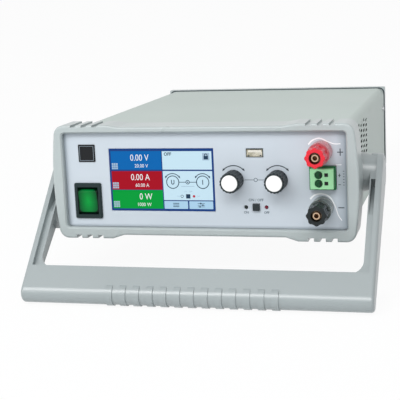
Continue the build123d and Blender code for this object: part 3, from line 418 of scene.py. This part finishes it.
def shade_recess(finish, node, inner, outer, first, second):
    """Colours a turned piece by its distance from its axis, first inside and second outside, to paint
    the shade in a recess.
    """
    share = finish.spread(vector_step(finish, "LENGTH", across(finish, node)), 0, 1, inner, outer)
    finish.join(finish.blend(share, first, second), finish.shader.inputs["Base Color"])
    return finish


def powder_coat(name, colour, roughness):
    """Powder-coated sheet with fine orange peel."""
    coat = Finish(name, colour, roughness).mottle(0.12, 0.025).grain(0.0013, 0.000018, detail=1.0)
    return coat.smudge(0.06, 0.04)


def tint(finish, share, colour):
    """Lays a second colour over a finish where a share is 1."""
    base = finish.shader.inputs["Base Color"].links[0].from_socket
    mix = finish.add("ShaderNodeMix", data_type="RGBA")
    finish.join(share, mix.inputs["Factor"])
    finish.join(base, mix.inputs[6])
    mix.inputs[7].default_value = (*colour, 1)
    finish.join(mix.outputs[2], finish.shader.inputs["Base Color"])
    return finish


def product(finish, first, second):
    step = finish.add("ShaderNodeMath", operation="MULTIPLY")
    finish.join(first, step.inputs[0])
    finish.join(second, step.inputs[1])
    return step.outputs[0]


def part_of(finish, vector, axis):
    split = finish.add("ShaderNodeSeparateXYZ")
    finish.join(vector, split.inputs[0])
    return split.outputs[axis]


def paint_vent_shade(finish):
    """Paints the cut edges of the side vents and the sheet's inner side near black: painted shade inside
    the vents.
    """
    place = vector_step(finish, "ABSOLUTE", across(finish, "top_cover"))
    half_width = half_size("top_cover", right)
    half_height = half_size("top_cover", up)
    skin_depth, skin_start = 0.0003, 0.0001
    bend_depth, bend_start = 0.0135, 0.013
    inside = finish.spread(
        part_of(finish, place, "X"), 1, 0, half_width - skin_depth, half_width - skin_start)
    below_top = finish.spread(
        part_of(finish, place, "Y"), 1, 0, half_height - bend_depth, half_height - bend_start)
    return tint(finish, product(finish, inside, below_top), (0.012, 0.014, 0.014))


def shaded_edges(finish):
    """Painted shade on the film: darker towards its right end and in a fine line along its rim, under
    the bezel's lip.
    """
    place = across(finish, "front_panel")
    half_width = half_size("front_panel", right)
    half_height = half_size("front_panel", up)
    end_start, end_full = 0.009, 0.001
    line_start, line_full = 0.0025, 0.0008
    right_end = finish.spread(
        part_of(finish, place, "X"), 0, 0.55, half_width - end_start, half_width - end_full)
    tint(finish, right_end, (0.16, 0.21, 0.25))
    from_middle = vector_step(finish, "ABSOLUTE", place)
    side_line = finish.spread(
        part_of(finish, from_middle, "X"), 0, 0.5, half_width - line_start, half_width - line_full)
    tint(finish, side_line, (0.2, 0.25, 0.29))
    top_line = finish.spread(
        part_of(finish, from_middle, "Y"), 0, 0.5, half_height - line_start, half_height - line_full)
    return tint(finish, top_line, (0.25, 0.29, 0.33))


grey_moulding = Finish("grey_moulding", (0.405, 0.456, 0.459), 0.3).mottle(0.08, 0.02, detail=1.0)
grey_moulding.grain(0.0007, 0.00001).smudge(0.05, 0.03).set(Specular_IOR_Level=0.6)
# Grey handle plastic, its colour darkened below the bezel's to paint in the shade on the handle.
bail_moulding = Finish("bail_moulding", (0.288, 0.329, 0.337), 0.32).mottle(0.1, 0.015, detail=1.0)
bail_moulding.grain(0.0007, 0.000008).smudge(0.08, 0.015).set(Specular_IOR_Level=1.0)
# The cover's vent edges and inner side carry painted shade.
cover_paint = paint_vent_shade(powder_coat("cover_paint", (0.47, 0.54, 0.515), 0.5))
panel_film = Finish("panel_film", (0.52, 0.58, 0.638), 0.38).mottle(0.1, 0.02).grain(0.0005, 0.000006)
shaded_edges(panel_film)
bright_film = plain_plastic("white_curve_lines", (0.88, 0.90, 0.92), 0.4)
dark_print = dark_moulding("dark_print", (0.035, 0.05, 0.06), 0.45)
soft_print = plain_plastic("soft_print", (0.13, 0.17, 0.20), 0.45)
faint_print = plain_plastic("faint_print", (0.22, 0.27, 0.31), 0.45)
dark_plastic = dark_moulding("dark_plastic", (0.022, 0.03, 0.033), 0.38)
badge_black = dark_moulding("badge_black", (0.009, 0.01, 0.012), 0.3, 0.0006, 0.000006)
switch_plastic = dark_moulding("switch_plastic", (0.013, 0.026, 0.027), 0.34)
knob_plastic = dark_moulding("knob_plastic", (0.02, 0.028, 0.031), 0.42, 0.0006, 0.00002)
white_plastic = plain_plastic("white_plastic", (0.88, 0.89, 0.88), 0.25, 0.0015, 0.000004, 0.01)
white_plastic.set(Coat_Weight=0.4, Coat_Roughness=0.08)
green_lens = glowing_rocker()
red_clamp = clear_plastic("red_plastic", (0.78, 0.012, 0.03), 0.22, 0.12)
# Painted shade: the clamp turns near black within 4.7 mm of the post's axis, in its hole.
shade_recess(red_clamp, "red_post_stud", 0.0047, 0.0052, (0.05, 0.002, 0.003), (0.78, 0.02, 0.04))
red_collar = clear_plastic("red_clear_plastic", (0.88, 0.21, 0.25), 0.16, 0.6)
black_clamp = dark_moulding("black_plastic", (0.014, 0.018, 0.019), 0.24, 0.0012, 0.00001)
smoke_collar = clear_plastic("smoke_plastic", (0.16, 0.2, 0.19), 0.14, 0.65)
light_green = plain_plastic("light_green_plastic", (0.32, 0.70, 0.37), 0.36)
dark_green = dark_moulding("dark_green_plastic", (0.012, 0.13, 0.045), 0.33)
release_green = dark_moulding("release_green", (0.003, 0.065, 0.018), 0.3)
nickel = plain_metal("nickel", (0.72, 0.62, 0.50), 0.24)
red_socket = plain_metal("red_post_metal", (0.55, 0.36, 0.24), 0.3)
# Painted shade: the red post's brass turns dark beyond 3.3 mm from its axis, in the clamp's recess.
shade_recess(red_socket, "red_post_stud", 0.0033, 0.0038, (0.62, 0.44, 0.30), (0.05, 0.02, 0.015))
black_socket = plain_metal("black_post_metal", (0.55, 0.36, 0.24), 0.3)
# Painted shade: the black post's brass turns dark beyond 3.3 mm from its axis, in the clamp's recess.
shade_recess(black_socket, "black_post_stud", 0.0033, 0.0038, (0.62, 0.44, 0.30), (0.04, 0.03, 0.02))
steel = plain_metal("steel", (0.58, 0.59, 0.60), 0.32)
socket_metal = plain_metal("socket_metal", (0.82, 0.80, 0.72), 0.22)
zinc_sheet = plain_metal("zinc_sheet", (0.56, 0.575, 0.58), 0.38, stretch=(0.2, 1, 1))
black_anodised = plain_metal("black_anodised", (0.035, 0.036, 0.038), 0.42, stretch=(1, 0.1, 1))
capacitor_sleeve = plain_plastic("capacitor_sleeve", (0.02, 0.03, 0.10), 0.3)
board_laminate = plain_plastic("board", (0.012, 0.13, 0.05), 0.3, 0.002, 0.00003, 0.12)
ferrite = plain_plastic("ferrite", (0.05, 0.05, 0.055), 0.6, 0.001, 0.00004)
copper = plain_metal("copper", (0.72, 0.36, 0.16), 0.35, stretch=(1, 1, 0.05), grain_height=0.00008)
rubber = plain_plastic("rubber", (0.02, 0.02, 0.021), 0.75, 0.0008, 0.00004)
dark_lamp = clear_plastic("dark_lamp", (0.08, 0.02, 0.025), 0.15, 0.1)
lamp_side = dark_lamp.add("ShaderNodeSeparateXYZ")
dark_lamp.join(dark_lamp.place, lamp_side.inputs[0])
lamp_middle = middle("status_lamps", right)
lamp_share = dark_lamp.spread(lamp_side.outputs["X"], 0, 1, lamp_middle - mm, lamp_middle + mm)
lamp_colour = dark_lamp.blend(lamp_share, (0.012, 0.02, 0.02), (0.16, 0.012, 0.03))
dark_lamp.join(lamp_colour, dark_lamp.shader.inputs["Base Color"])
screen_border = lit_plastic("screen_glass", (0.022, 0.075, 0.30), 0.5)
pane_blue = lit_plastic("pane_blue", (0.004, 0.131, 0.43), 0.8)
pane_red = lit_plastic("pane_red", (0.38, 0.006, 0.018), 0.8)
pane_green = lit_plastic("pane_green", (0.001, 0.33, 0.045), 0.8)
pane_pale = lit_plastic("pane_pale", (0.60, 0.81, 0.93), 0.74)
pane_button = lit_plastic("pane_button", (0.42, 0.65, 0.84), 0.76)
screen_white = lit_plastic("screen_white", (0.92, 0.95, 1.0), 0.7)
screen_soft = lit_plastic("screen_soft", (0.45, 0.62, 0.78), 0.6)
screen_dark = lit_plastic("screen_dark", (0.03, 0.07, 0.13), 0.5)
screen_dot = lit_plastic("screen_dot", (0.55, 0.03, 0.06), 0.7)

dressed = {
    grey_moulding: ("front_bezel", "rear_frame"),
    bail_moulding: ("handle", "hub_caps"),
    cover_paint: ("top_cover",),
    panel_film: ("front_panel",),
    dark_plastic: (
        "output_button", "button_switch", "fan_housing_left", "fan_housing_right",
        "fan_rotor_left", "fan_rotor_right", "mains_inlet",
    ),
    badge_black: ("badge_plate",),
    switch_plastic: ("switch_frame",),
    knob_plastic: ("voltage_knob", "current_knob"),
    white_plastic: ("voltage_knob_cap", "current_knob_cap"),
    green_lens: ("power_rocker",),
    red_clamp: ("red_post_clamp",),
    red_collar: ("red_post_collar",),
    black_clamp: ("black_post_clamp",),
    smoke_collar: ("black_post_collar",),
    light_green: ("sense_plug",),
    dark_green: ("sense_header",),
    release_green: ("sense_release_upper", "sense_release_lower"),
    nickel: ("post_nuts", "output_bars"),
    red_socket: ("red_post_stud", "red_post_insert"),
    black_socket: ("black_post_stud", "black_post_insert"),
    steel: (
        "display_module", "voltage_encoder", "current_encoder", "voltage_shaft", "current_shaft",
        "handle_axles", "handle_screws", "handle_brackets", "fan_guards", "board_pillars", "case_screws",
        "control_socket", "data_socket",
    ),
    socket_metal: ("usb_socket",),
    zinc_sheet: ("chassis_tray", "rear_panel"),
    black_anodised: ("heatsinks",),
    capacitor_sleeve: ("capacitors",),
    board_laminate: ("control_board", "main_board"),
    ferrite: ("transformer_core", "mains_choke"),
    copper: ("transformer_winding",),
    rubber: ("rear_feet",),
    screen_border: ("display_glass",),
    dark_lamp: ("status_lamps",),
}
for finish, names in dressed.items():
    for name in names:
        for material_slot in nodes[name].material_slots:
            material_slot.material = finish.material


# Screen: panes, readings and symbols on the glass

glass = front_of("display_glass")
pane_low, pane_high = 0.0, 0.06
ink_low, ink_high = 0.05, 0.1
column_left = -22.95
column_width = 46.9
right_left, right_right = 1.4, 46.5
row_height = 16.7
row_places = (17.55, -0.5, -17.7)
reading_height = 5.6
setting_height = 3.1
icon_x = -43.0

pane_finishes = {"blue": pane_blue, "red": pane_red, "green": pane_green}
for (name, finish), row_z in zip(pane_finishes.items(), row_places):
    pane = Marks(glass, pane_low, pane_high)
    pane.bar(column_left, row_z, column_width, row_height)
    pane.piece(f"screen_pane_{name}", finish.material, "screen_glass")

pale = Marks(glass, pane_low, pane_high)
for pale_z, pale_height in ((17.5, 16.4), (-5.1, 26.2)):
    pale.bar((right_left + right_right) / 2, pale_z, right_right - right_left, pale_height)
pale.piece("screen_panes_pale", pane_pale.material, "screen_glass")

key_z = -22.6
key_width, key_height = 21.7, 7.0
menu_x, tune_x = 12.4, 35.4
keys = Marks(glass, pane_low, pane_high)
for key_x in (menu_x, tune_x):
    keys.bar(key_x, key_z, key_width, key_height, 0.5)
keys.piece("screen_keys", pane_button.material, "screen_glass")

readings = Marks(glass, ink_low, ink_high)
for text, x, row_z in (("0.00 V", -19.7, 20.1), ("0.00 A", -19.7, 2.5), ("0 W", -15.4, -15.0)):
    readings.words(text, x, row_z, reading_height, stretch=0.82)
for text, x, row_z in (("20.00 V", -18.2, 12.7), ("60.00 A", -18.2, -4.8), ("1000 W", -17.2, -22.3)):
    readings.words(text, x, row_z, setting_height, stretch=0.9)
readings.piece("screen_readings", screen_white.material, "white_plastic")

pads = Marks(glass, ink_low, ink_high)
pad_pitch = 1.95
pad_size = 1.6
pad_corner = 0.2
icon_places = (12.3, -5.1, -22.2)
for icon_z in icon_places:
    for row in (-1, 0, 1):
        for column in (-1, 0, 1):
            pad_x, pad_z = icon_x + column * pad_pitch, icon_z + row * pad_pitch
            pads.bar(pad_x, pad_z, pad_size, pad_size, pad_corner)
pads.piece("screen_keypads", screen_soft.material, "screen_glass")

symbols = Marks(glass, ink_low, ink_high)
dial_z = -2.0
dial_radius = 5.6
dial_places = {"U": 10.2, "I": 37.6}
for letter, dial_x in dial_places.items():
    symbols.ring(dial_x, dial_z, dial_radius, 0.75)
    symbols.words(letter, dial_x, dial_z, 3.9, stretch=0.85, bold=0.16)
    symbols.turning_arc(dial_x, dial_z, 7.7, 52, 0.7, 2.2)
link_x = sum(dial_places.values()) / 2
link_gap = 1.9
link_width = 0.55
symbols.line([(dial_places["U"] + dial_radius, dial_z), (link_x - link_gap, dial_z)], link_width)
symbols.line([(link_x + link_gap, dial_z), (dial_places["I"] - dial_radius, dial_z)], link_width)
symbols.ring(link_x, dial_z, link_gap - 0.3, 0.6)
symbols.disc(link_x, dial_z, 0.6)
output_z = -14.7
symbols.bar(23.8, output_z, 3.9, 3.9, 0.3)
symbols.ring(18.2, output_z, 1.15, 0.4)
symbols.words("OFF", 6.6, 23.2, 2.7, bold=0.1)
lock_x, lock_z = 41.4, 21.0
symbols.bar(lock_x, lock_z - 1.1, 3.9, 3.1, 0.3)
shackle = 1.2
shackle_bow = arc(lock_x, lock_z + 1.0, shackle, 180, 0)
symbols.line([(lock_x - shackle, lock_z)] + shackle_bow + [(lock_x + shackle, lock_z)], 0.65)
for bar_z in (-1.5, 0, 1.5):
    symbols.bar(menu_x, key_z + bar_z, 5.6, 0.6, 0.25)
for bar_z, slider in ((-1.5, -1.2), (0, 1.4), (1.5, -0.4)):
    symbols.bar(tune_x, key_z + bar_z, 6.6, 0.35, 0.15)
    symbols.disc(tune_x + slider, key_z + bar_z, 0.72)
symbols.piece("screen_symbols", screen_dark.material, "dark_plastic")

soft_marks = Marks(glass, ink_low, ink_low + 0.03)
soft_marks.bar(lock_x, lock_z - 0.2, 6.4, 6.6, 0.4)
soft_marks.bar(link_x, dial_z - 3.7, 12.0, 0.5)
soft_marks.words("ON / OFF", 24.0, output_z + 4.3, 1.3)
soft_marks.words("ON", 14.8, output_z, 1.2)
soft_marks.words("OFF", 33.2, output_z, 1.2)
soft_marks.piece("screen_soft_marks", screen_soft.material, "screen_glass")

dot = Marks(glass, ink_low, ink_high)
dot.disc(29.1, output_z, 1.15)
dot.piece("screen_dot", screen_dot.material, "red_plastic")


# Badge: a bare plate with an engraved border

badge_half = half_size("badge_plate", right) / mm
border_inset = 1.4
border_width = 0.35
border_half = badge_half - border_inset
border = Marks(front_of("badge_plate"), -0.01, 0.04)
for sign in (-1, 1):
    border.bar(0, sign * border_half, 2 * border_half, border_width)
    border.bar(sign * border_half, 0, border_width, 2 * border_half - border_width)
border.piece("badge_border", faint_print.material, "steel")


# Print on the panel, in the unit's own millimetres

panel_face = reach("front_panel", depth)[0]
print_low, print_high = -0.01, 0.035


def round_node(node):
    """Marks whose centre is the middle of a node, on the panel."""
    return Marks(Sheet(middle(node, right), middle(node, up), panel_face), print_low, print_high)


for which in ("voltage", "current"):
    turning = round_node(f"{which}_knob")
    turning.turning_arc(0, 0, 12.6, 44, 0.85, 2.6)
    turning.piece(f"{which}_arc", dark_print.material, "dark_plastic")

knob_gap = (middle("current_knob", right) - middle("voltage_knob", right)) / mm
link = round_node("voltage_knob")
link_middle = knob_gap / 2
link_start = 9.6
ring_gap = 1.6
link_ink = 0.6
link.line([(link_start, 0), (link_middle - ring_gap, 0)], link_ink)
link.line([(link_middle + ring_gap, 0), (knob_gap - link_start, 0)], link_ink)
link.ring(link_middle, 0, 1.5, link_ink)
link.piece("knob_link", soft_print.material, "dark_plastic")

output_words = round_node("output_button")
output_words.words("ON / OFF", 0, 6.4, 2.2, bold=0.1)
lamp_diameter = 3.0
lamp_x = (2 * half_size("status_lamps", right) / mm - lamp_diameter) / 2
for text, side in (("ON", -1), ("OFF", 1)):
    output_words.words(text, side * lamp_x, -4.7, 1.9, bold=0.1)
output_words.piece("output_words", soft_print.material, "dark_plastic")

# Black tiles just inside the plug's wire entries: painted shade in the holes.
entry_low, entry_high = -1.6, -0.7
entry_shade = Marks(front_of("sense_plug"), entry_low, entry_high)
entry_x = 3.9
entry_size = 3.3
release_pitch = (middle("sense_release_upper", up) - middle("sense_release_lower", up)) / mm
for sign in (-1, 1):
    entry_shade.bar(entry_x, sign * release_pitch / 2, entry_size, entry_size)
entry_shade.piece("sense_entry_shade", badge_black.material, "dark_plastic", "sense_plug")

# Dark bar on each release button: painted shade of the deep recess at its right.
slot_x = 1.7
slot_low, slot_high = -0.02, 0.04
for place in ("upper", "lower"):
    node = f"sense_release_{place}"
    slot_shades = Marks(front_of(node), slot_low, slot_high)
    slot_shades.bar(slot_x, 0, 1.3, 3.6, 0.5)
    slot_shades.piece(f"{node}_slot", badge_black.material, "dark_plastic", node)

sign_x = 16.1
signs = round_node("red_post_stud")
signs.bar(sign_x, -0.6, 5.2, 0.8)
signs.bar(sign_x, 1.15, 0.8, 2.7)
signs.bar(sign_x, -2.35, 0.8, 2.7)
signs.piece("plus_sign", dark_print.material, "dark_plastic")
signs = round_node("black_post_stud")
signs.bar(sign_x, -0.4, 5.2, 0.9)
signs.piece("minus_sign", dark_print.material, "dark_plastic")

small_signs = round_node("sense_plug")
small_sign_x = 14.0
small_signs.bar(small_sign_x, 1.9, 2.2, 0.5)
small_signs.bar(small_sign_x, 2.8, 0.5, 1.3)
small_signs.bar(small_sign_x, 1.0, 0.5, 1.3)
small_signs.bar(small_sign_x, -6.2, 2.2, 0.5)
tick_x, tick_pitch, first_tick_z = 17.6, 2.4, 5.5
for tick in range(6):
    small_signs.bar(tick_x, first_tick_z - tick_pitch * tick, 1.1, 0.5)
small_signs.piece("sense_signs", dark_print.material, "dark_plastic")

# White curved lines on the film round the two posts.
post_curves = round_node("red_post_stud")
sweep = smooth_curve([(-11.0, 6.0), (-7.5, 9.6), (-1.2, 11.4), (5.5, 8.6), (11.0, 6.6), (16.6, 6.6)])
post_curves.line(sweep, [1.4 - 0.7 * index / len(sweep) for index in range(len(sweep))])
post_curves.bar(14.7, -11.5, 4.6, 0.6)
post_curves.piece("red_post_curve", bright_film.material, "white_plastic")
post_curves = round_node("black_post_stud")
sweep = smooth_curve([
    (-10.6, 7.0), (-6.5, 10.6), (0.2, 11.6), (6.6, 8.6), (10.7, 1.2), (13.4, -7.0), (16.4, -11.6),
])
post_curves.line(sweep, [1.5 - 0.8 * index / len(sweep) for index in range(len(sweep))])
post_curves.piece("black_post_curve", bright_film.material, "white_plastic")


# Memory stick socket: dark rim and its two springs

usb = Marks(front_of("usb_socket"), -0.02, 0.05)
usb_half = half_size("usb_socket", right) / mm
usb_rise = half_size("usb_socket", up) / mm
usb_rim = 0.55
for sign in (-1, 1):
    usb.bar(0, sign * (usb_rise - usb_rim / 2), 2 * usb_half, usb_rim)
    usb.bar(sign * (usb_half - usb_rim / 2), 0, usb_rim, 2 * (usb_rise - usb_rim))
    usb.bar(sign * (usb_half - 2.2), -usb_rise + 1.3, 1.7, 0.9)
usb.piece("usb_rim", dark_print.material, "dark_plastic")


# Near black strip on the rear frame's front rim, behind the cover: painted shade of that step

shade_back = reach("rear_frame", depth)[0] / mm
shade_length = 0.8
shade_rise = 0.45
shade_thickness = 1.0
shade_corner = 6.0
cover_foot, cover_top = reach("top_cover", up)
shade_width = 2 * half_size("top_cover", right) / mm + 2 * shade_rise
shade_top = cover_top / mm + shade_rise
shade_foot = cover_foot / mm + 1.0
loop = [(shade_width / 2, shade_foot)]
loop += arc(shade_width / 2 - shade_corner, shade_top - shade_corner, shade_corner, 0, 90, 8)
loop += arc(-shade_width / 2 + shade_corner, shade_top - shade_corner, shade_corner, 90, 180, 8)
loop += [(-shade_width / 2, shade_foot)]
# Painted shade: a near black strip where the rear frame's front rim lies in shadow.
step_shade = Marks(Sheet(0, 0, 0), -shade_back, -shade_back + shade_length)
step_shade.line(loop, shade_thickness)
step_shade.piece("rear_step_shade", dark_print.material, "rubber")


# Stage, light and camera

floor_mesh = bpy.data.meshes.new("floor")
floor_half = 30.0
floor_drop = 0.0003
floor_corners = [(x * floor_half, y * floor_half, 0) for x, y in ((-1, -1), (1, -1), (1, 1), (-1, 1))]
floor_mesh.from_pydata(floor_corners, [], [(0, 1, 2, 3)])
floor = bpy.data.objects.new("floor", floor_mesh)
floor.location.z = -floor_drop
bpy.context.scene.collection.objects.link(floor)


def seen_directly(tree):
    """A value that is 1 for rays that show the picture's background, mirrored or through glass too."""
    path = tree.nodes.new("ShaderNodeLightPath")
    total = path.outputs["Is Camera Ray"]
    for name in ("Is Glossy Ray", "Is Transmission Ray"):
        more = tree.nodes.new("ShaderNodeMath")
        more.operation = "MAXIMUM"
        tree.links.new(total, more.inputs[0])
        tree.links.new(path.outputs[name], more.inputs[1])
        total = more.outputs[0]
    return total


background_share = 0.93
room_light = 0.45
floor_finish = Finish("floor", (0.86, 0.87, 0.88), 0.7)
floor_glow = floor_finish.add("ShaderNodeEmission")
floor_mix = floor_finish.add("ShaderNodeMixShader")
floor_share = floor_finish.add("ShaderNodeMath", operation="MULTIPLY")
floor_share.inputs[1].default_value = background_share
floor_finish.join(seen_directly(floor_finish.tree), floor_share.inputs[0])
floor_finish.join(floor_share.outputs[0], floor_mix.inputs[0])
floor_finish.join(floor_finish.shader.outputs[0], floor_mix.inputs[1])
floor_finish.join(floor_glow.outputs[0], floor_mix.inputs[2])
floor_finish.join(floor_mix.outputs[0], floor_finish.tree.nodes["Material Output"].inputs["Surface"])
floor_mesh.materials.append(floor_finish.material)

world = bpy.data.worlds.new("studio")
world.use_nodes = True
bpy.context.scene.world = world
sky = world.node_tree.nodes["Background"]
sky_level = world.node_tree.nodes.new("ShaderNodeMapRange")
sky_level.inputs["To Min"].default_value = room_light
sky_level.inputs["To Max"].default_value = 1.0
world.node_tree.links.new(seen_directly(world.node_tree), sky_level.inputs["Value"])
world.node_tree.links.new(sky_level.outputs["Result"], sky.inputs["Strength"])
sky.inputs["Color"].default_value = (1, 1, 1, 1)


def soft_lamp(name, place, width, height, power):
    """A soft box that looks at the middle of the object."""
    light = bpy.data.lights.new(name, "AREA")
    light.shape = "RECTANGLE"
    light.size = width
    light.size_y = height
    light.energy = power
    lamp = bpy.data.objects.new(name, light)
    lamp.location = place
    aim = Vector((0, 0, 0.05)) - Vector(place)
    lamp.rotation_euler = aim.to_track_quat("-Z", "Y").to_euler()
    bpy.context.scene.collection.objects.link(lamp)


soft_lamp("key_lamp", (-1.3, -1.5, 1.0), 1.1, 1.1, 7.0)
soft_lamp("strip_lamp", (-0.2, -1.5, 1.8), 2.8, 0.75, 40.0)
soft_lamp("top_lamp", (0.1, 0.5, 1.7), 1.4, 1.4, 1.0)

camera_data = bpy.data.cameras.new("camera")
camera_data.sensor_width = 36.0
camera_data.lens = 95.625
camera_data.shift_x = -0.08
camera_data.shift_y = -0.08
camera = bpy.data.objects.new("camera", camera_data)
camera.location = (0.24269, -0.998955, 0.371867)
camera.rotation_euler = Euler([radians(angle) for angle in (73.206, 3.925, 12.904)])
bpy.context.scene.collection.objects.link(camera)
bpy.context.scene.camera = camera
bpy.context.scene.view_settings.view_transform = "Standard"
